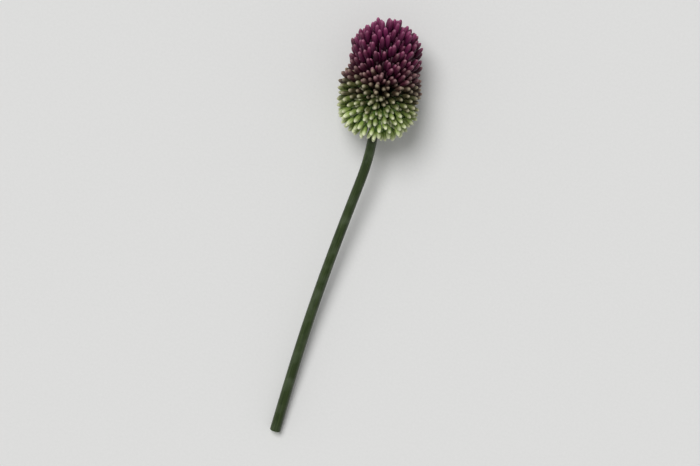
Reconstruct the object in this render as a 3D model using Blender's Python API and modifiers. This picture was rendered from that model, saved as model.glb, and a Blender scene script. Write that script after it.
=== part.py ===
"""A cut drumstick allium lying on its side: the flower head and the top stretch of its stem.

Metres, +Z up, and z = 0 is the surface that it lies on. The head points along +Y, raised a little
because the stem's cut end lies on the surface too. The origin is under the floret that reaches lowest.

In the head's own frame, which the empty named flower holds, +Z is the head's axis, +X is the
world's +X, and the origin is the receptacle: the stem's top, where the stalks of all florets meet.
"""

import math

import bmesh
import bpy
import numpy as np
from mathutils import Matrix, Vector

# The surface that the floret tips reach, as (height above the receptacle, radius)
TIP_PROFILE = (
    (0.0320, 0.0),
    (0.0309, 0.0062),
    (0.0286, 0.0100),
    (0.0255, 0.0126),
    (0.0215, 0.0142),
    (0.0168, 0.0147),
    (0.0110, 0.0152),
    (0.0050, 0.0163),
    (-0.0015, 0.0170),
    (-0.0085, 0.0166),
    (-0.0126, 0.0149),
    (-0.0162, 0.0119),
    (-0.0184, 0.0070),
    (-0.0190, 0.0),
)

# Florets, each a blunt bud that narrows to its stalk, as (radius, depth below its tip)
BUD_PROFILE = ((0.0, 0.0), (0.0011, 0.0006), (0.0015, 0.0022), (0.0, 0.0092))
BUD_SIDES = 5
FLORET_SPACING = 0.0039
TURN_PER_FLORET = math.pi * (3 - math.sqrt(5))
ANGLE_SPREAD = math.radians(1.4)
REACH_SPREAD = 0.0004
SEED = 5

# The core: the mass of stalks behind the buds
CORE_DEPTH = 0.0050  # below the floret tips
CORE_SIDES = 20

# The purple crown and the green skirt meet on a cone whose point is the receptacle
BORDER_ANGLE = math.radians(72)
BORDER_CLEARANCE = math.radians(6.8)
LAST_ANGLE = math.radians(165)
GAP = 0.0003

# The stem, bent at the neck and nearly straight below it
STEM_LENGTH = 0.152
STEM_STEP = 0.004
STEM_SIDES = 12
STEM_RADIUS = 0.0020
CUT_END_RADIUS = 0.0023
RECEPTACLE_RADIUS = 0.0030
RECEPTACLE_HEIGHT = 0.0030
NECK_TOP = 0.014
NECK_LENGTH = 0.026
NECK_BEND = math.radians(12)
STRAIGHTENING = math.radians(5)

# The receptacle's height above the surface is a little less than the head's radius, so the
# lowest florets end in a flat spot
REST_HEIGHT = 0.0163
CUTTER_SIZE = 0.4


def new_collection(name):
    collection = bpy.data.collections.new(name)
    bpy.context.scene.collection.children.link(collection)
    return collection


def new_object(name, data, collection):
    item = bpy.data.objects.new(name, data)
    collection.objects.link(item)
    return item


def paint(item, name, colour, roughness):
    material = bpy.data.materials.new(name)
    material.use_nodes = True
    material.diffuse_color = (*colour, 1)
    shader = material.node_tree.nodes["Principled BSDF"]
    shader.inputs["Base Color"].default_value = (*colour, 1)
    shader.inputs["Roughness"].default_value = roughness
    shader.inputs["Metallic"].default_value = 0
    item.data.materials.append(material)


def apply_modifiers(item):
    graph = bpy.context.evaluated_depsgraph_get()
    item.data = bpy.data.meshes.new_from_object(item.evaluated_get(graph))
    item.modifiers.clear()


def turned(name, profile, sides, collection):
    """The solid that a profile of (radius, height) points turns into, from its top down its outside."""
    bm = bmesh.new()
    verts = [bm.verts.new((radius, 0, height)) for radius, height in profile]
    for first, second in zip(verts, verts[1:]):
        bm.edges.new((first, second))
    if profile[0][0] > 0:
        bm.edges.new((verts[-1], verts[0]))
    mesh = bpy.data.meshes.new(name)
    bm.to_mesh(mesh)
    bm.free()
    item = new_object(name, mesh, collection)
    screw = item.modifiers.new("turn", "SCREW")
    screw.steps = sides
    screw.render_steps = sides
    screw.use_merge_vertices = True
    screw.merge_threshold = 0.00001
    apply_modifiers(item)
    return item


def tip_reach(angle):
    """Distance from the receptacle to the floret tips, at an angle from the head's axis."""
    height, radius = np.array(TIP_PROFILE).T
    return np.interp(angle, np.arctan2(radius, height), np.hypot(radius, height))


def core_point(angle):
    """(radius, height) of the core's surface at an angle from the head's axis."""
    reach = tip_reach(angle) - CORE_DEPTH
    return reach * math.sin(angle), reach * math.cos(angle)


def floret_tips(zone, kept, chance):
    """Tips of the florets that fill a zone, given as its two angles from the head's axis.

    They follow a golden-angle spiral, each with the same room across its own stalk, and are then
    moved a little at random. Those outside the two kept angles are brought back to them.
    """
    angle = np.linspace(*zone, 500)
    room = np.cumsum(2 * math.pi * tip_reach(angle) ** 2 * np.sin(angle)) * (angle[1] - angle[0])
    count = round(room[-1] / (FLORET_SPACING**2 * math.sqrt(3) / 2))
    angle = np.interp((np.arange(count) + 0.5) / count * room[-1], room, angle)
    turn = np.arange(count) * TURN_PER_FLORET + chance.normal(0, ANGLE_SPREAD, count) / np.sin(angle)
    angle = np.clip(angle + chance.normal(0, ANGLE_SPREAD, count), *kept)
    reach = tip_reach(angle) + chance.normal(0, REACH_SPREAD, count)
    across = reach * np.sin(angle)
    tips = np.stack((across * np.cos(turn), across * np.sin(turn), reach * np.cos(angle)), axis=1)
    return [Vector(tip) for tip in tips]


def add_florets(core, tips, bud):
    """Joins a bud at each tip, pointing away from the receptacle, to the core in one body."""
    buds = new_collection(core.name + "_buds")
    for tip in tips:
        item = new_object("bud", bud.data, buds)
        item.matrix_world = Matrix.Translation(tip) @ tip.to_track_quat("Z", "Y").to_matrix().to_4x4()
    union = core.modifiers.new("buds", "BOOLEAN")
    union.operation = "UNION"
    union.operand_type = "COLLECTION"
    union.collection = buds
    union.solver = "MANIFOLD"
    apply_modifiers(core)
    for item in list(buds.objects):
        bpy.data.objects.remove(item)
    bpy.data.collections.remove(buds)


def flatten(piece, ground):
    """Ends the piece at the surface, and shades it smooth but for its sharp edges."""
    cut = piece.modifiers.new("flat spot", "BOOLEAN")
    cut.operation = "DIFFERENCE"
    cut.object = ground
    cut.solver = "MANIFOLD"
    piece.data.shade_smooth()
    piece.data.set_sharp_from_angle(angle=math.radians(80))


def ease(share):
    share = min(max(share, 0), 1)
    return share * share * (3 - 2 * share)


def stem_route():
    """Points of the stem's axis from the receptacle down, in the head's XZ plane."""
    neck_end = NECK_TOP + NECK_LENGTH
    points = [Vector((0, 0, 0))]
    for step in range(round(STEM_LENGTH / STEM_STEP)):
        along = (step + 0.5) * STEM_STEP
        lean = NECK_BEND * ease((along - NECK_TOP) / NECK_LENGTH)
        lean -= STRAIGHTENING * ease((along - neck_end) / (STEM_LENGTH - neck_end))
        points.append(points[-1] - Vector((math.sin(lean), 0, math.cos(lean))) * STEM_STEP)
    return points


for old in list(bpy.data.objects):
    bpy.data.objects.remove(old)

parts = new_collection("drumstick_allium")
cutters = new_collection("cutters")

# How the flower lies: tilted so that the stem's cut end reaches the surface too
route = stem_route()
tilt = math.asin((REST_HEIGHT - CUT_END_RADIUS) / -route[-1].z)
flower = new_object("flower", None, parts)
flower.rotation_euler.x = tilt - math.pi / 2

chance = np.random.default_rng(SEED)
crown_tips = floret_tips((0, BORDER_ANGLE), (0, BORDER_ANGLE - BORDER_CLEARANCE), chance)
skirt_tips = floret_tips((BORDER_ANGLE, LAST_ANGLE), (BORDER_ANGLE + BORDER_CLEARANCE, LAST_ANGLE), chance)
laid = flower.rotation_euler.to_matrix()
lowest = min((laid @ tip for tip in crown_tips + skirt_tips), key=lambda tip: tip.z)
flower.location = (-lowest.x, -lowest.y, REST_HEIGHT)

bpy.ops.mesh.primitive_cube_add(size=CUTTER_SIZE, location=(0, 0, -CUTTER_SIZE / 2))
ground = bpy.context.object
ground.name = "ground"
ground.hide_render = True
ground.display_type = "WIRE"
ground.users_collection[0].objects.unlink(ground)
cutters.objects.link(ground)

bud = turned("bud", [(radius, -depth) for radius, depth in BUD_PROFILE], BUD_SIDES, cutters)
half_gap = GAP / 2 / math.sin(BORDER_ANGLE)
well_radius = RECEPTACLE_RADIUS + GAP
well_height = well_radius / math.tan(BORDER_ANGLE)

# Crown: the purple upper florets, on the dome of their stalks
dome = [core_point(angle) for angle in np.linspace(0, BORDER_ANGLE, 8)]
rim_radius, rim_height = dome.pop()
dome += [(rim_radius, rim_height + half_gap), (well_radius, well_height + half_gap), (0, GAP)]
crown = turned("crown", dome, CORE_SIDES, parts)
add_florets(crown, crown_tips, bud)
flatten(crown, ground)
paint(crown, "purple_florets", (0.22, 0.03, 0.15), 0.6)

# Skirt: the green lower florets, round the hole that the stem comes up through
bowl = [core_point(angle) for angle in np.linspace(BORDER_ANGLE, LAST_ANGLE, 9)]
bowl[0] = (rim_radius, rim_height - half_gap)
hole_radius = STEM_RADIUS + GAP
bowl += [
    (hole_radius, bowl[-1][1]),
    (hole_radius, -RECEPTACLE_HEIGHT * 2),
    (well_radius, -RECEPTACLE_HEIGHT),
    (well_radius, well_height - half_gap),
]
skirt = turned("skirt", bowl, CORE_SIDES, parts)
add_florets(skirt, skirt_tips, bud)
flatten(skirt, ground)
paint(skirt, "green_florets", (0.42, 0.50, 0.20), 0.6)
bpy.data.objects.remove(bud)

# Stem: a round scape that widens into the receptacle
curve = bpy.data.curves.new("stem", "CURVE")
curve.dimensions = "3D"
curve.bevel_depth = STEM_RADIUS
curve.bevel_resolution = STEM_SIDES // 2 - 2
curve.use_fill_caps = True
spline = curve.splines.new("POLY")
spline.points.add(len(route) - 1)
for index, place in enumerate(route):
    along = index / (len(route) - 1)
    spline.points[index].co = (*place, 1)
    spline.points[index].radius = 1 + (CUT_END_RADIUS / STEM_RADIUS - 1) * along
spline.points[0].radius = RECEPTACLE_RADIUS / STEM_RADIUS
stem = new_object("stem", curve, parts)
paint(stem, "stem_green", (0.05, 0.09, 0.03), 0.45)

for piece in (crown, skirt, stem):
    piece.parent = flower
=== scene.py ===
"""A cut drumstick allium lying on its side on a pale floor, seen from above.

Metres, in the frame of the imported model: +Z up, z = 0 the floor, and the head pointing along +Y.
"""

import math

import bmesh
import bpy
import numpy as np
from mathutils import Euler, Matrix, Vector, noise


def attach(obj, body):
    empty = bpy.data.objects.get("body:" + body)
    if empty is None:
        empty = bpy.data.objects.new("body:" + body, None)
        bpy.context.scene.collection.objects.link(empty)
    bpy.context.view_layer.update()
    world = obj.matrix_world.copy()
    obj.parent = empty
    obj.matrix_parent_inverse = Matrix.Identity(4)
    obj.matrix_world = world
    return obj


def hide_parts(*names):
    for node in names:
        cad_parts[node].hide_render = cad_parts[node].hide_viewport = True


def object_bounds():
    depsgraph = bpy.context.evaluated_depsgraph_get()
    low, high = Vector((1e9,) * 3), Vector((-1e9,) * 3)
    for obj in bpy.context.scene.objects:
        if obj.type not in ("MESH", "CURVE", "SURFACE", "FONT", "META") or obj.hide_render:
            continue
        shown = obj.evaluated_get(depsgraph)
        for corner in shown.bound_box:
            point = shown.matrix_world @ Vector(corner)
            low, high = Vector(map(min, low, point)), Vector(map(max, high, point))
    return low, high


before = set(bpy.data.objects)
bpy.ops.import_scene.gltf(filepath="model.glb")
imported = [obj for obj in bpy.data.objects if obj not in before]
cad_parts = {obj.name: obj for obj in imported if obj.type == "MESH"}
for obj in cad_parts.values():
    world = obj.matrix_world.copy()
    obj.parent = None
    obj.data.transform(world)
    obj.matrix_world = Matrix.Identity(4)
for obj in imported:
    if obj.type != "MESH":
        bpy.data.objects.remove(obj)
cad_low, cad_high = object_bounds()

# Umbel: the florets all grow from the stem's top, the receptacle, on stalks as long as the
# egg-shaped head asks. Its own frame has the receptacle as origin and the head's axis as +Z. The
# florets' places come from the CAD model's rule, and fill the border of crown and skirt too.
TIP_PROFILE = (  # (height, radius)
    (0.0320, 0.0),
    (0.0309, 0.0062),
    (0.0286, 0.0100),
    (0.0255, 0.0126),
    (0.0215, 0.0142),
    (0.0168, 0.0147),
    (0.0110, 0.0152),
    (0.0050, 0.0163),
    (-0.0015, 0.0170),
    (-0.0085, 0.0166),
    (-0.0126, 0.0149),
    (-0.0162, 0.0119),
    (-0.0184, 0.0070),
    (-0.0190, 0.0),
)
FLORET_SPACING = 0.0039
ROOM_PER_FLORET = FLORET_SPACING**2 * math.sqrt(3) / 2
TURN_PER_FLORET = math.pi * (3 - math.sqrt(5))
ANGLE_SPREAD = math.radians(1.4)
REACH_SPREAD = 0.0004
ANGLE_STEPS = 500
SEED = 5
BORDER_ANGLE = math.radians(72)
BORDER_CLEARANCE = math.radians(1.0)
LAST_ANGLE = math.radians(165)
REST_HEIGHT = 0.0163


def tip_reach(angle):
    """Distance from the receptacle to the floret tips, at an angle from the head's axis."""
    height, radius = np.array(TIP_PROFILE).T
    return np.interp(angle, np.arctan2(radius, height), np.hypot(radius, height))


def floret_tips(zone, kept, chance):
    """Tips of a zone's florets on a golden-angle spiral, each moved a little at random."""
    angle = np.linspace(*zone, ANGLE_STEPS)
    room = np.cumsum(2 * math.pi * tip_reach(angle) ** 2 * np.sin(angle)) * (angle[1] - angle[0])
    count = round(room[-1] / ROOM_PER_FLORET)
    angle = np.interp((np.arange(count) + 0.5) / count * room[-1], room, angle)
    turn = np.arange(count) * TURN_PER_FLORET + chance.normal(0, ANGLE_SPREAD, count) / np.sin(angle)
    angle = np.clip(angle + chance.normal(0, ANGLE_SPREAD, count), *kept)
    reach = tip_reach(angle) + chance.normal(0, REACH_SPREAD, count)
    across = reach * np.sin(angle)
    tips = np.stack((across * np.cos(turn), across * np.sin(turn), reach * np.cos(angle)), axis=1)
    return [Vector(tip) for tip in tips]


chance = np.random.default_rng(SEED)
crown_end = BORDER_ANGLE - BORDER_CLEARANCE
skirt_start = BORDER_ANGLE + BORDER_CLEARANCE
crown_tips = floret_tips((0, BORDER_ANGLE), (0, crown_end), chance)
skirt_tips = floret_tips((BORDER_ANGLE, LAST_ANGLE), (skirt_start, LAST_ANGLE), chance)

# Stem: a leafless round scape, smooth, waxy and finely ribbed, bent at the neck by the head's
# weight. It grew in one with the receptacle, into which it widens inside the head. The flower lies
# tilted, on its florets and on the stem's cut end.
STEM_LENGTH = 0.152
STEM_STEP = 0.001
STEM_SIDES = 32
STEM_RADIUS = 0.0020
CUT_END_RADIUS = 0.0023
RECEPTACLE_RADIUS = 0.0030
FLARE_LENGTH = 0.004
NECK_TOP = 0.014
NECK_LENGTH = 0.026
NECK_BEND = math.radians(12)
STRAIGHTENING = math.radians(5)
RIB_HEIGHT = 0.00007
RIB_FINENESS = 4.0  # how many fit in the stem's radius
RIB_CHANGES = 5.0  # how often they change in the stem's length
SKIN_RELIEF = 0.00004
SKIN_GLOSS = 0.3
BLOOM_SCALE = 180.0


def ease(share):
    """A share held between 0 and 1, with a smooth start and end."""
    share = min(max(share, 0), 1)
    return share * share * (3 - 2 * share)


def stem_lean(along):
    """The stem's angle to the head's axis, at a distance from the receptacle."""
    neck_end = NECK_TOP + NECK_LENGTH
    lean = NECK_BEND * ease((along - NECK_TOP) / NECK_LENGTH)
    return lean - STRAIGHTENING * ease((along - neck_end) / (STEM_LENGTH - neck_end))


route = [Vector((0, 0, 0))]
girths = [RECEPTACLE_RADIUS]
for count in range(round(STEM_LENGTH / STEM_STEP)):
    lean = stem_lean((count + 0.5) * STEM_STEP)
    route.append(route[-1] - Vector((math.sin(lean), 0, math.cos(lean))) * STEM_STEP)
    along = (count + 1) * STEM_STEP
    taper = STEM_RADIUS + (CUT_END_RADIUS - STEM_RADIUS) * along / STEM_LENGTH
    girths.append(taper + (RECEPTACLE_RADIUS - STEM_RADIUS) * (1 - ease(along / FLARE_LENGTH)))

tilt = math.asin((REST_HEIGHT - CUT_END_RADIUS) / -route[-1].z)
laid = Euler((tilt - math.pi / 2, 0, 0)).to_matrix()
lowest = min((laid @ tip for tip in crown_tips + skirt_tips), key=lambda tip: tip.z)
receptacle = Vector((-lowest.x, -lowest.y, REST_HEIGHT))
route = [receptacle + laid @ point for point in route]


def points_object(name, points, values):
    """Loose points with named values on each, for a node tree to build on."""
    mesh = bpy.data.meshes.new(name)
    mesh.from_pydata(points, [], [])
    for label, numbers in values.items():
        vectors = np.ndim(numbers) == 2
        field = mesh.attributes.new(label, "FLOAT_VECTOR" if vectors else "FLOAT", "POINT")
        field.data.foreach_set("vector" if vectors else "value", np.ravel(numbers))
    item = bpy.data.objects.new(name, mesh)
    bpy.context.scene.collection.objects.link(item)
    return item


def join_up(tree, made, inputs):
    """Sets a node's inputs, given by name or number, to values or to other nodes' outputs."""
    for place, value in inputs.items():
        if isinstance(value, bpy.types.NodeSocket):
            tree.links.new(value, made.inputs[place])
        else:
            made.inputs[place].default_value = value


def step(tree, kind, inputs, output=0, **settings):
    """Adds a node to a tree and gives one of its outputs."""
    made = tree.nodes.new(kind)
    for name, value in settings.items():
        setattr(made, name, value)
    join_up(tree, made, inputs)
    return made.outputs[output]


def number(tree, operation, *values):
    return step(tree, "ShaderNodeMath", dict(enumerate(values)), operation=operation)


def scaled(tree, value, factor, offset):
    return number(tree, "MULTIPLY_ADD", value, factor, offset)


def vector(tree, operation, *values, **named):
    inputs = dict(enumerate(values)) | named
    return step(tree, "ShaderNodeVectorMath", inputs, operation=operation)


def combined(tree, x, y, z):
    return step(tree, "ShaderNodeCombineXYZ", {0: x, 1: y, 2: z})


def parts_of(tree, place):
    """The outputs X, Y and Z of a place."""
    made = tree.nodes.new("ShaderNodeSeparateXYZ")
    join_up(tree, made, {0: place})
    return made.outputs


def own_place(tree):
    """The outputs X, Y and Z of each point's own position."""
    return parts_of(tree, step(tree, "GeometryNodeInputPosition", {}))


def keep_value(tree, shape, name, value):
    """Stores a value on each point of a shape, for later nodes and for the material."""
    inputs = {"Geometry": shape, "Name": name, "Value": value}
    return step(tree, "GeometryNodeStoreNamedAttribute", inputs, data_type="FLOAT", domain="POINT")


def kept_value(tree, name, kind="FLOAT"):
    return step(tree, "GeometryNodeInputNamedAttribute", {"Name": name}, data_type=kind)


def new_growth(name, inputs):
    """A node tree that grows a piece, with named inputs; gives it and those inputs' sockets."""
    tree = bpy.data.node_groups.new(name, "GeometryNodeTree")
    tree.interface.new_socket("Geometry", in_out="INPUT", socket_type="NodeSocketGeometry")
    for label, kind in inputs.items():
        tree.interface.new_socket(label, in_out="INPUT", socket_type="NodeSocket" + kind)
    tree.interface.new_socket("Geometry", in_out="OUTPUT", socket_type="NodeSocketGeometry")
    return tree, tree.nodes.new("NodeGroupInput").outputs


def finish_growth(tree, shape, material):
    """Ends a tree with real faces and their material."""
    shape = step(tree, "GeometryNodeRealizeInstances", {"Geometry": shape})
    shape = step(tree, "GeometryNodeSetMaterial", {"Geometry": shape, "Material": material})
    tree.links.new(shape, tree.nodes.new("NodeGroupOutput").inputs["Geometry"])


def grow(item, tree, values):
    """Runs a tree on an object and leaves the result as its plain mesh, with no empty first slot."""
    modifier = item.modifiers.new(tree.name, "NODES")
    modifier.node_group = tree
    for socket in tree.interface.items_tree:
        if socket.name in values:
            modifier[socket.identifier] = values[socket.name]
    graph = bpy.context.evaluated_depsgraph_get()
    item.data = bpy.data.meshes.new_from_object(item.evaluated_get(graph))
    item.modifiers.clear()
    while item.data.materials[0] is None:
        item.data.materials.pop(index=0)


tree, given = new_growth("Ribbed stem along a route", {
    "Sides": "Int",
    "Rib Height": "Float",
    "Material": "Material",
})
line = step(tree, "GeometryNodeMeshToCurve", {"Mesh": given["Geometry"]})
share = step(tree, "GeometryNodeSplineParameter", {}, output="Factor")
line = keep_value(tree, line, "along", share)
ring = step(tree, "GeometryNodeCurvePrimitiveCircle", {"Resolution": given["Sides"], "Radius": 1.0})
place = own_place(tree)
ring = keep_value(tree, ring, "side", place["X"])
ring = keep_value(tree, ring, "face", place["Y"])
tube = step(tree, "GeometryNodeCurveToMesh", {
    "Curve": line,
    "Profile Curve": ring,
    "Scale": kept_value(tree, "girth"),
    "Fill Caps": True,
})
place = combined(
    tree,
    number(tree, "MULTIPLY", kept_value(tree, "side"), RIB_FINENESS),
    number(tree, "MULTIPLY", kept_value(tree, "face"), RIB_FINENESS),
    number(tree, "MULTIPLY", kept_value(tree, "along"), RIB_CHANGES),
)
ribs = step(tree, "ShaderNodeTexNoise", {"Vector": place, "Scale": 1.0, "Detail": 1.0})
ribs = number(tree, "MULTIPLY", number(tree, "SUBTRACT", ribs, 0.5), given["Rib Height"])
outward = vector(tree, "SCALE", step(tree, "GeometryNodeInputNormal", {}), Scale=ribs)
tube = step(tree, "GeometryNodeSetPosition", {"Geometry": tube, "Offset": outward})
tube = step(tree, "GeometryNodeSetShadeSmooth", {"Geometry": tube})
finish_growth(tree, tube, given["Material"])


def tone(red, green, blue):
    """A colour as an sRGB screen shows it, 0 to 255, in the linear values that a shader takes."""
    screen = np.array((red, green, blue)) / 255
    linear = np.where(screen > 0.04045, ((screen + 0.055) / 1.055) ** 2.4, screen / 12.92)
    return (*linear.tolist(), 1)


def new_material(name):
    material = bpy.data.materials.new(name)
    material.use_nodes = True
    return material, material.node_tree, material.node_tree.nodes["Principled BSDF"]


def surface_value(shades, name):
    return step(shades, "ShaderNodeAttribute", {}, output="Fac", attribute_name=name)


def colour_range(shades, share, stops):
    """Colours that follow a value from 0 to 1, given as (value, colour) pairs."""
    made = shades.nodes.new("ShaderNodeValToRGB")
    while len(made.color_ramp.elements) < len(stops):
        made.color_ramp.elements.new(1)
    for element, (value, colour) in zip(made.color_ramp.elements, stops):
        element.position = value
        element.color = colour
    join_up(shades, made, {0: share})
    return made.outputs["Color"]


def blend(shades, share, first, second, kind="MIX"):
    inputs = {0: share, 6: first, 7: second}
    return step(shades, "ShaderNodeMix", inputs, output=2, data_type="RGBA", blend_type=kind)


def fade(shades, value, start, end, low=0.0, high=1.0, **settings):
    """Goes from low to high as a value goes from start to end, and stays there beyond them."""
    inputs = {0: value, 1: start, 2: end, 3: low, 4: high}
    return step(shades, "ShaderNodeMapRange", inputs, **settings)


def piece_noise(shades, scale, detail):
    """Noise that is fixed to a piece, with a scale in features a metre."""
    where = step(shades, "ShaderNodeTexCoord", {}, output="Object")
    return step(shades, "ShaderNodeTexNoise", {"Vector": where, "Scale": scale, "Detail": detail})


# The fine fibres that run lengthwise in the skin of stem, stalks and tepals
fibres = bpy.data.node_groups.new("Lengthwise fibres", "ShaderNodeTree")
for label in ("Side", "Face", "Along", "Fineness", "Length"):
    fibres.interface.new_socket(label, in_out="INPUT", socket_type="NodeSocketFloat")
fibres.interface.new_socket("Fibre", in_out="OUTPUT", socket_type="NodeSocketFloat")
given = fibres.nodes.new("NodeGroupInput").outputs
place = combined(
    fibres,
    number(fibres, "MULTIPLY", given["Side"], given["Fineness"]),
    number(fibres, "MULTIPLY", given["Face"], given["Fineness"]),
    number(fibres, "MULTIPLY", given["Along"], given["Length"]),
)
strand = step(fibres, "ShaderNodeTexNoise", {
    "Vector": place,
    "Scale": 1.0,
    "Detail": 3.0,
    "Roughness": 0.65,
})
strand = fade(fibres, strand, start=0.3, end=0.7)
fibres.links.new(strand, fibres.nodes.new("NodeGroupOutput").inputs["Fibre"])


def fibre_pattern(shades, side, face, along, fineness, length):
    values = {"Side": side, "Face": face, "Along": along, "Fineness": fineness, "Length": length}
    made = shades.nodes.new("ShaderNodeGroup")
    made.node_tree = fibres
    join_up(shades, made, values)
    return made.outputs["Fibre"]


def finish_material(shades, shader, colour, roughness, relief, depth):
    """Gives a shader its colour, its roughness, and a relief of a depth in metres."""
    normal = step(shades, "ShaderNodeBump", {"Height": relief, "Distance": depth})
    join_up(shades, shader, {"Base Color": colour, "Roughness": roughness, "Normal": normal})


stem_skin, shades, shader = new_material("waxy green stem skin")
side = surface_value(shades, "side")
face = surface_value(shades, "face")
along = surface_value(shades, "along")
skin = fibre_pattern(shades, side, face, along, fineness=7.0, length=9.0)
green = colour_range(shades, skin, (
    (0.0, tone(30, 42, 17)),
    (0.5, tone(42, 56, 24)),
    (1.0, tone(63, 78, 38)),
))
bloom = fade(shades, piece_noise(shades, BLOOM_SCALE, detail=4.0), start=0.45, end=0.8, high=0.35)
green = blend(shades, bloom, green, tone(100, 112, 88))
roughness = scaled(shades, bloom, factor=0.5, offset=0.34)
finish_material(shades, shader, green, roughness, skin, SKIN_RELIEF)
shader.inputs["Specular IOR Level"].default_value = SKIN_GLOSS

stem = points_object("scape", route, {"girth": girths})
links = [(end - 1, end) for end in range(1, len(route))]
stem.data.edges.add(len(links))
stem.data.edges.foreach_set("vertices", np.ravel(links))
grow(stem, tree, {"Sides": STEM_SIDES, "Rib Height": RIB_HEIGHT, "Material": stem_skin})
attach(stem, "root")
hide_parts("stem")

# Cut end: the knife's square cut shows the stem's wet inside, a dark green rim, a ring of fibre
# bundles and a pale pith that has dried a little hollow in the middle.
CUT_RINGS = (  # (share of the radius, height above the stem's end)
    (1.0, -0.0002),
    (1.0, 0.00005),
    (0.97, 0.00016),
    (0.88, 0.00020),
    (0.70, 0.00018),
    (0.50, 0.00014),
    (0.28, 0.00008),
    (0.12, 0.00004),
)
CUT_INSET = 0.00003
CUT_RADIUS = CUT_END_RADIUS - CUT_INSET
CUT_SIDES = 48
CUT_RELIEF = 0.00005
CELLS_IN_RADIUS = 13.0


def close_skin(shape, rings):
    """Joins rings of corners, each to the next, and puts a face on both ends."""
    for low, high in zip(rings, rings[1:]):
        for count in range(len(low)):
            following = (count + 1) % len(low)
            shape.faces.new((low[count], low[following], high[following], high[count]))
    shape.faces.new(rings[0][::-1])
    shape.faces.new(rings[-1])


shape = bmesh.new()
radius_share = shape.verts.layers.float.new("radius_share")
turn_share = shape.verts.layers.float_vector.new("turn_share")
out = (route[-1] - route[-2]).normalized()
facing = out.to_track_quat("Z", "Y").to_matrix()
rings = []
for share, height in CUT_RINGS:
    ring = []
    for count in range(CUT_SIDES):
        turn = 2 * math.pi * count / CUT_SIDES
        flat = Vector((math.cos(turn), math.sin(turn), 0))
        vert = shape.verts.new(route[-1] + facing @ (flat * share * CUT_RADIUS) + out * height)
        vert[radius_share] = share
        vert[turn_share] = flat * share
        ring.append(vert)
    rings.append(ring)
close_skin(shape, rings)
mesh = bpy.data.meshes.new("cut_end")
shape.to_mesh(mesh)
shape.free()
mesh.shade_smooth()
cut_end = bpy.data.objects.new("cut_end", mesh)
bpy.context.scene.collection.objects.link(cut_end)

pith, shades, shader = new_material("fresh cut pith")
share = surface_value(shades, "radius_share")
flesh = colour_range(shades, share, (
    (0.0, tone(176, 186, 142)),
    (0.35, tone(190, 200, 158)),
    (0.72, tone(150, 172, 110)),
    (0.88, tone(84, 112, 56)),
    (1.0, tone(46, 62, 30)),
))
spot = step(shades, "ShaderNodeAttribute", {}, output="Vector", attribute_name="turn_share")
cells = step(shades, "ShaderNodeTexVoronoi", {"Vector": spot, "Scale": CELLS_IN_RADIUS})
bundle = fade(shades, cells, start=0.42, end=0.22)
bundle = number(shades, "MULTIPLY", bundle, fade(shades, share, start=0.5, end=0.62))
flesh = blend(shades, number(shades, "MULTIPLY", bundle, 0.6), flesh, tone(96, 116, 60))
wetness = scaled(shades, cells, factor=0.4, offset=0.3)
finish_material(shades, shader, flesh, wetness, cells, CUT_RELIEF)
mesh.materials.append(pith)
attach(cut_end, "root")
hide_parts("stem")

# Stalks: a thin green pedicel for each floret, grown out of the receptacle, swaying a little and
# widening under its floret. Younger florets on shorter stalks fill the gaps behind the others, and
# all push each other aside. Between the buds only the stalks' last stretch is seen, deep in shade.
BUD_LENGTH = 0.0053
SMALLEST_BUD = 0.86
SIZE_RATE = 1.6  # how fast the buds' size grows up the head
SIZE_SPREAD = 0.05
HALF_RIPE = 0.45  # the share of the head's height where green turns to purple
RIPE_RATE = 3
RIPE_STRETCH = 0.12  # ripe buds are longer and slimmer by these shares
RIPE_SLIMMING = 0.07
RIPENESS_SPREAD = 0.045
NOD = math.radians(3.5)
BUD_ROOM = 0.0029
YOUNG_ROOM = 0.0023
ROOM_ROUNDS = 15
ROOM_PUSH = 0.4
SAME_PLACE = 1e-6  # no gap counts as less, because the gaps divide
YOUNG_TURN = math.radians(70)
YOUNG_CROWN_REACH = 0.86
YOUNG_MIDDLE_REACH = 0.66
YOUNG_SKIRT_REACH = 0.74
CLUMP_SIZE = 0.009
CLUMP_HEIGHT = 0.0011
TIP_CLEARANCE = 0.0002
STALK_SIDES = 6
STALK_SEGMENTS = 5
STALK_START = 0.0024
STALK_RADIUS = 0.00040
STALK_FOOT = 0.85  # share of the radius
STALK_FLARE = 0.5  # what the radius gains under the floret
FLARE_POWER = 8.0
STALK_SWAY = 0.0016
SWAY_SCALE = 180.0


def make_room(tips, others, room):
    """Moves crowded floret tips apart until each has room, over the head but not in or out."""
    places = np.array(tips)
    reach = np.linalg.norm(places, axis=1, keepdims=True)
    for _ in range(ROOM_ROUNDS):
        gaps = places[:, None] - np.concatenate((places, others))
        distance = np.linalg.norm(gaps, axis=2, keepdims=True)
        pushes = gaps / np.maximum(distance, SAME_PLACE) * np.maximum(room - distance, 0)
        places += pushes.sum(axis=1) * ROOM_PUSH
        places *= reach / np.linalg.norm(places, axis=1, keepdims=True)
    return places


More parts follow.
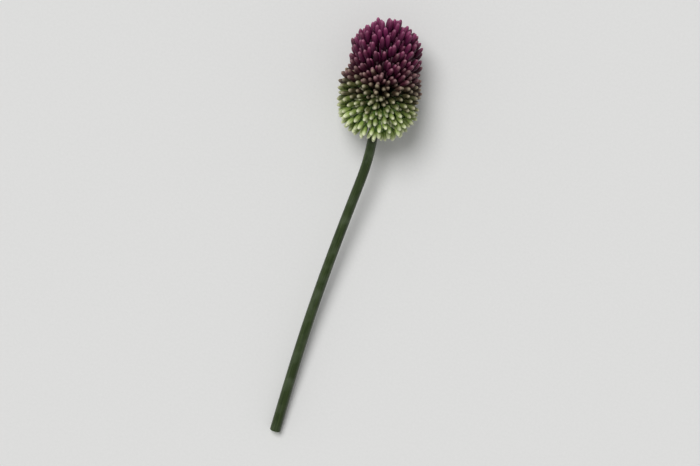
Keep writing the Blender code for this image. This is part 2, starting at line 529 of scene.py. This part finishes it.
def floret_values(tips, reach_shares):
    """Each floret's foot, direction, length, girth, ripeness and a random number of its own.

    The florets stand in clumps that reach unevenly, and none reaches through the floor.
    """
    head_bottom = TIP_PROFILE[-1][0]
    head_height = TIP_PROFILE[0][0] - head_bottom
    values = {name: [] for name in ("base", "aim", "length", "size", "ripeness", "which")}
    for tip, reach_share in zip(map(Vector, tips), reach_shares):
        aim = laid @ tip.normalized()
        share = (tip.z - head_bottom) / head_height
        reach = tip.length * reach_share + CLUMP_HEIGHT * noise.noise(tip / CLUMP_SIZE)
        if aim.z < 0:
            reach = min(reach, (REST_HEIGHT - TIP_CLEARANCE) / -aim.z)
        size = SMALLEST_BUD + (1 - SMALLEST_BUD) * ease(share * SIZE_RATE)
        size *= chance.normal(1, SIZE_SPREAD)
        ripe = ease((share - HALF_RIPE) * RIPE_RATE)
        length = size * BUD_LENGTH * (1 + RIPE_STRETCH * ripe)
        facing = (aim + Vector(chance.normal(0, NOD, 3))).normalized()
        values["base"].append(receptacle + aim * reach - facing * length)
        values["aim"].append(facing)
        values["length"].append(length)
        values["size"].append(size * (1 - RIPE_SLIMMING * ripe))
        values["ripeness"].append(share + chance.normal(0, RIPENESS_SPREAD))
        values["which"].append(chance.random())
    return {name: np.array(numbers) for name, numbers in values.items()}


tips = make_room(crown_tips + skirt_tips, np.empty((0, 3)), BUD_ROOM)
between = np.array(Matrix.Rotation(YOUNG_TURN, 3, "Z").transposed())
young = make_room(tips @ between, tips, YOUNG_ROOM)
in_crown = np.arange(len(tips)) < len(crown_tips)
full_reach = np.ones(len(tips))
young_reach = np.where(young[:, 2] < 0, YOUNG_SKIRT_REACH, YOUNG_MIDDLE_REACH)
young_reach[in_crown] = YOUNG_CROWN_REACH
florets = {
    "crown": floret_values(tips[in_crown], full_reach[in_crown]),
    "crown_young": floret_values(young[in_crown], young_reach[in_crown]),
    "skirt": floret_values(tips[~in_crown], full_reach[~in_crown]),
    "skirt_young": floret_values(young[~in_crown], young_reach[~in_crown]),
}

tree, given = new_growth("Stalks from the receptacle", {
    "Receptacle": "Vector",
    "Start": "Float",
    "Radius": "Float",
    "Sway": "Float",
    "Material": "Material",
})
base = kept_value(tree, "base", "FLOAT_VECTOR")
run = vector(tree, "SUBTRACT", base, given["Receptacle"])
foot = vector(tree, "SCALE", vector(tree, "NORMALIZE", run), Scale=given["Start"])
foot = vector(tree, "ADD", foot, given["Receptacle"])
run = vector(tree, "SUBTRACT", base, foot)
length = step(tree, "ShaderNodeVectorMath", {0: run}, output="Value", operation="LENGTH")
feet = step(tree, "GeometryNodeSetPosition", {"Geometry": given["Geometry"], "Position": foot})
stick = step(tree, "GeometryNodeMeshCylinder", {
    "Vertices": STALK_SIDES,
    "Side Segments": STALK_SEGMENTS,
    "Radius": 1.0,
    "Depth": 1.0,
})
spot = own_place(tree)
share = number(tree, "ADD", spot["Z"], 0.5)
stick = keep_value(tree, stick, "along", share)
flare = scaled(tree, number(tree, "POWER", share, FLARE_POWER), STALK_FLARE, STALK_FOOT)
across = number(tree, "MULTIPLY", spot["X"], flare)
aside = number(tree, "MULTIPLY", spot["Y"], flare)
place = combined(tree, across, aside, share)
stick = step(tree, "GeometryNodeSetPosition", {"Geometry": stick, "Position": place})
sticks = step(tree, "GeometryNodeInstanceOnPoints", {
    "Points": feet,
    "Instance": stick,
    "Rotation": step(tree, "FunctionNodeAlignRotationToVector", {"Vector": run}, axis="Z"),
    "Scale": combined(tree, given["Radius"], given["Radius"], length),
})
sticks = step(tree, "GeometryNodeRealizeInstances", {"Geometry": sticks})
middle = number(tree, "SINE", number(tree, "MULTIPLY", kept_value(tree, "along"), math.pi))
sway = step(tree, "ShaderNodeTexNoise", {"Scale": SWAY_SCALE, "Detail": 0.0}, output="Color")
sway = vector(tree, "SUBTRACT", sway, (0.5, 0.5, 0.5))
sway = vector(tree, "SCALE", sway, Scale=number(tree, "MULTIPLY", middle, given["Sway"]))
sticks = step(tree, "GeometryNodeSetPosition", {"Geometry": sticks, "Offset": sway})
sticks = step(tree, "GeometryNodeSetShadeSmooth", {"Geometry": sticks})
finish_growth(tree, sticks, given["Material"])

stalk_skin, shades, shader = new_material("green stalk skin")
ripeness = surface_value(shades, "ripeness")
which = surface_value(shades, "which")
along = surface_value(shades, "along")
grain = fibre_pattern(shades, which, ripeness, along, fineness=60.0, length=4.0)
by_the_bud = colour_range(shades, ripeness, (
    (0.10, tone(98, 142, 48)),
    (0.32, tone(72, 108, 38)),
    (0.48, tone(52, 58, 34)),
    (0.62, tone(62, 26, 40)),
    (0.90, tone(76, 26, 52)),
))
# Towards the receptacle the stalks' colour darkens to almost black: painted shade for the shade deep
# inside the head
painted_inner_shade = colour_range(shades, ripeness, ((0.2, tone(40, 66, 20)), (0.55, tone(24, 20, 16))))
green = blend(shades, number(shades, "POWER", along, 2.0), painted_inner_shade, by_the_bud)
green = blend(shades, number(shades, "MULTIPLY", grain, 0.3), green, tone(24, 34, 14))
roughness = scaled(shades, grain, factor=0.2, offset=0.4)
finish_material(shades, shader, green, roughness, grain, SKIN_RELIEF)

for zone, values in florets.items():
    stalks = points_object(zone + "_stalks", values["base"], values)
    grow(stalks, tree, {
        "Receptacle": receptacle,
        "Start": STALK_START,
        "Radius": STALK_RADIUS,
        "Sway": STALK_SWAY,
        "Material": stalk_skin,
    })
    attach(stalks, "root")
    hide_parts(zone.split("_")[0])

# Florets: buds of six keeled tepals in two whorls of three, their edges meeting, each on its
# stalk. They ripen from the top down, from pale green through cream to purple, palest at the tip.
BUD_RADIUS = 0.00108
BUD_OUTLINE = (  # (share of the length, share of the radius)
    (0.0, 0.34),
    (0.05, 0.60),
    (0.18, 0.86),
    (0.40, 1.0),
    (0.62, 0.98),
    (0.80, 0.82),
    (0.92, 0.56),
    (0.985, 0.25),
    (1.0, 0.02),
)
TEPALS = 6
TEPAL_COLUMNS = 4
TEPAL_SPAN = math.radians(54)
KEEL = 0.13
TEPAL_THICKNESS = 0.12
SHARP_ANGLE = math.radians(75)
INNER_WHORL = 0.93
INNER_OPENING = 0.5  # share of the outer whorl's
LEAST_OPENING = 0.3
MOST_OPENING = 1.7
TEPAL_SEED = 3
ROLL_SPREAD = 40.0  # several full turns, so that the buds face any way round
LOWEST_TEPAL = 0.00002
TIP_START = 0.74  # share of the length, on half-ripe buds, whose pale tips are shortest
TIP_GROWTH = 1.6


def tepal_point(height, radius, across, depth=0.0):
    """A point of a tepal whose bud has a length and a radius of 1, at -1 to 1 across the tepal."""
    radius *= 1 + KEEL * (0.5 - abs(across)) - depth * (1 - across**2)
    turn = across * TEPAL_SPAN
    return radius * math.cos(turn), radius * math.sin(turn), height


shape = bmesh.new()
along_layer = shape.verts.layers.float.new("along")
across_layer = shape.verts.layers.float.new("across")
rows = []
for height, radius in BUD_OUTLINE:
    row = []
    for column in range(TEPAL_COLUMNS + 1):
        across = 2 * column / TEPAL_COLUMNS - 1
        vert = shape.verts.new(tepal_point(height, radius, across))
        vert[along_layer] = height
        vert[across_layer] = across
        row.append(vert)
    behind = shape.verts.new(tepal_point(height, radius, 0, TEPAL_THICKNESS))
    behind[along_layer] = height
    row.append(behind)
    rows.append(row)
close_skin(shape, rows)
tepal_mesh = bpy.data.meshes.new("tepal")
shape.to_mesh(tepal_mesh)
shape.free()
tepal_mesh.shade_smooth()
tepal_mesh.set_sharp_from_angle(angle=SHARP_ANGLE)
tepal = bpy.data.objects.new("tepal", tepal_mesh)

tree, given = new_growth("Buds of six tepals", {
    "Tepal": "Object",
    "Radius": "Float",
    "Opening": "Float",
    "Inner Whorl": "Float",
    "Lowest": "Float",
    "Seed": "Int",
    "Material": "Material",
})
copies = tree.nodes.new("GeometryNodeDuplicateElements")
copies.domain = "POINT"
join_up(tree, copies, {"Geometry": given["Geometry"], "Amount": TEPALS})
order = copies.outputs["Duplicate Index"]
inner = number(tree, "MODULO", order, 2.0)
roll = number(tree, "MULTIPLY", order, 2 * math.pi / TEPALS)
roll = number(tree, "ADD", roll, number(tree, "MULTIPLY", kept_value(tree, "which"), ROLL_SPREAD))
spread = step(tree, "FunctionNodeRandomValue", {
    2: LEAST_OPENING,
    3: MOST_OPENING,
    "Seed": given["Seed"],
}, output=1, data_type="FLOAT")
opened = number(tree, "MULTIPLY", given["Opening"], spread)
opened = number(tree, "MULTIPLY", opened, scaled(tree, inner, INNER_OPENING - 1, 1.0))
aim = kept_value(tree, "aim", "FLOAT_VECTOR")
facing = step(tree, "FunctionNodeAlignRotationToVector", {"Vector": aim}, axis="Z")
for axis, angle in (((0, 0, 1), roll), ((0, 1, 0), opened)):
    turn = step(tree, "FunctionNodeAxisAngleToRotation", {"Axis": axis, "Angle": angle})
    facing = step(tree, "FunctionNodeRotateRotation", {
        "Rotation": facing,
        "Rotate By": turn,
    }, rotation_space="LOCAL")
whorl = scaled(tree, inner, number(tree, "SUBTRACT", given["Inner Whorl"], 1.0), 1.0)
across = number(tree, "MULTIPLY", given["Radius"], whorl)
across = number(tree, "MULTIPLY", across, kept_value(tree, "size"))
tepals = step(tree, "GeometryNodeInstanceOnPoints", {
    "Points": copies.outputs["Geometry"],
    "Instance": step(tree, "GeometryNodeObjectInfo", {"Object": given["Tepal"]}, output="Geometry"),
    "Rotation": facing,
    "Scale": combined(tree, across, across, kept_value(tree, "length")),
})
tepals = step(tree, "GeometryNodeRealizeInstances", {"Geometry": tepals})
spot = own_place(tree)
place = combined(tree, spot["X"], spot["Y"], number(tree, "MAXIMUM", spot["Z"], given["Lowest"]))
tepals = step(tree, "GeometryNodeSetPosition", {"Geometry": tepals, "Position": place})
finish_growth(tree, tepals, given["Material"])

petal_skin, shades, shader = new_material("ripening tepals")
ripeness = surface_value(shades, "ripeness")
which = surface_value(shades, "which")
along = surface_value(shades, "along")
across = number(shades, "ABSOLUTE", surface_value(shades, "across"))
side_tones = colour_range(shades, ripeness, (
    (0.14, tone(156, 174, 92)),
    (0.30, tone(106, 114, 60)),
    (0.44, tone(62, 50, 34)),
    (0.56, tone(64, 26, 35)),
    (0.68, tone(68, 10, 42)),
    (1.00, tone(84, 12, 60)),
))
tip_tones = colour_range(shades, ripeness, (
    (0.14, tone(232, 234, 194)),
    (0.30, tone(184, 182, 142)),
    (0.46, tone(146, 130, 108)),
    (0.60, tone(132, 88, 92)),
    (0.74, tone(120, 46, 78)),
    (1.00, tone(136, 48, 96)),
))
point_tones = colour_range(shades, ripeness, (
    (0.20, tone(246, 246, 220)),
    (0.46, tone(178, 168, 140)),
    (0.62, tone(180, 144, 148)),
    (0.80, tone(196, 136, 160)),
    (1.00, tone(196, 122, 160)),
))
base_tones = colour_range(shades, ripeness, (
    (0.20, tone(90, 128, 46)),
    (0.42, tone(44, 50, 28)),
    (0.58, tone(44, 18, 26)),
    (1.00, tone(56, 14, 38)),
))
off_middle = number(shades, "SUBTRACT", ripeness, HALF_RIPE)
off_middle = number(shades, "MULTIPLY", off_middle, off_middle)
tip_start = scaled(shades, off_middle, factor=-TIP_GROWTH, offset=TIP_START)
at_tip = fade(shades, along, start=tip_start, end=0.98)
at_base = fade(shades, along, start=0.40, end=0.0, interpolation_type="SMOOTHSTEP")
colour = blend(shades, at_base, side_tones, base_tones)
colour = blend(shades, at_tip, colour, tip_tones)
at_point = fade(shades, along, start=0.86, end=1.0, high=0.6)
colour = blend(shades, at_point, colour, point_tones)
midrib = fade(shades, across, start=0.34, end=0.04)
midrib = number(shades, "MULTIPLY", midrib, scaled(shades, at_tip, factor=-0.4, offset=0.5))
colour = blend(shades, midrib, colour, base_tones)
# Paler tepal edges: partly the tepals' own paler margins, partly painted sheen where light catches
# the edges
pale_edge_and_sheen = fade(shades, across, start=0.66, end=1.0, high=0.5)
colour = blend(shades, pale_edge_and_sheen, colour, tip_tones)
own_veins = number(shades, "MULTIPLY", which, 9.0)
veins = fibre_pattern(shades, across, own_veins, along, fineness=6.0, length=1.6)
colour = blend(shades, number(shades, "MULTIPLY", veins, 0.25), colour, base_tones)
strength = scaled(shades, which, factor=0.35, offset=0.8)
strength = step(shades, "ShaderNodeCombineColor", {0: strength, 1: strength, 2: strength})
colour = blend(shades, 1.0, colour, strength, "MULTIPLY")
roughness = scaled(shades, veins, factor=0.2, offset=0.36)
finish_material(shades, shader, colour, roughness, veins, SKIN_RELIEF)
shader.inputs["Specular IOR Level"].default_value = SKIN_GLOSS

for zone, slot, opening in (
    ("crown", "purple_florets", 0.6),
    ("crown_young", "purple_florets", 0.2),
    ("skirt", "green_florets", 0.2),
    ("skirt_young", "green_florets", 0.1),
):
    buds = points_object(zone + "_tepals", florets[zone]["base"], florets[zone])
    grow(buds, tree, {
        "Tepal": tepal,
        "Radius": BUD_RADIUS,
        "Opening": math.radians(opening),
        "Inner Whorl": INNER_WHORL,
        "Lowest": LOWEST_TEPAL,
        "Seed": TEPAL_SEED,
        "Material": petal_skin,
    })
    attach(buds, "root")
    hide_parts(zone.split("_")[0])
bpy.data.objects.remove(tepal)

# Floor: a plain sheet of pale matt paper with a fine tooth, much larger than the view. The flower
# lies on it, and it is no part of the object.
FLOOR_SIZE = 20.0
TOOTH_SCALE = 900.0
TOOTH_RELIEF = 0.00002
PAPER_ROUGHNESS = 0.85

bpy.ops.mesh.primitive_plane_add(size=FLOOR_SIZE)
floor = bpy.context.object
floor.name = "floor"
paper, shades, shader = new_material("pale paper")
tooth = piece_noise(shades, TOOTH_SCALE, detail=2.0)
pale = colour_range(shades, tooth, ((0.0, tone(224, 224, 223)), (1.0, tone(230, 230, 229))))
finish_material(shades, shader, pale, PAPER_ROUGHNESS, tooth, TOOTH_RELIEF)
floor.data.materials.append(paper)

# Light: one broad soft lamp high beyond the head's tip and to its left, and a pale room that is
# brightest low down, where it meets the floor
LAMP_DIRECTION = Vector((-0.5, 0.7, 1.4))
LAMP_SOFTNESS = math.radians(32)
LAMP_STRENGTH = 2.1
ROOM_TOP = 0.32
ROOM_BOTTOM = 0.70
FADE_HEIGHT = 0.6  # the sine of the angle above the floor where the room is no longer fading

room = bpy.data.worlds.new("studio room")
bpy.context.scene.world = room
room.use_nodes = True
shades = room.node_tree
height = parts_of(shades, step(shades, "ShaderNodeTexCoord", {}, output="Generated"))["Z"]
glow = fade(shades, height, start=0.0, end=FADE_HEIGHT, low=ROOM_BOTTOM, high=ROOM_TOP)
join_up(shades, shades.nodes["Background"], {"Color": (1, 1, 1, 1), "Strength": glow})
lamp_data = bpy.data.lights.new("soft lamp", "SUN")
lamp_data.angle = LAMP_SOFTNESS
lamp_data.energy = LAMP_STRENGTH
lamp = bpy.data.objects.new("soft lamp", lamp_data)
lamp.rotation_euler = LAMP_DIRECTION.to_track_quat("Z", "Y").to_euler()
bpy.context.scene.collection.objects.link(lamp)
bpy.context.scene.view_settings.view_transform = "Standard"

# Camera: above the flower and a little towards the head's tip, so that it looks down on the head
# as the photograph's camera does, and turned so that the head leans to the right
CAMERA_DISTANCE = 1.0
CAMERA_TILT = math.radians(7)
CAMERA_ROLL = math.radians(9)
VIEW_WIDTH = 0.292

camera_data = bpy.data.cameras.new("camera")
camera_data.lens = camera_data.sensor_width * CAMERA_DISTANCE / VIEW_WIDTH
camera = bpy.data.objects.new("camera", camera_data)
aimed = Matrix.Rotation(CAMERA_ROLL, 3, "Z") @ Matrix.Rotation(-CAMERA_TILT, 3, "X")
camera.rotation_euler = aimed.to_euler()
camera.location = (cad_low + cad_high) / 2 + aimed @ Vector((0, 0, CAMERA_DISTANCE))
bpy.context.scene.collection.objects.link(camera)
bpy.context.scene.camera = camera
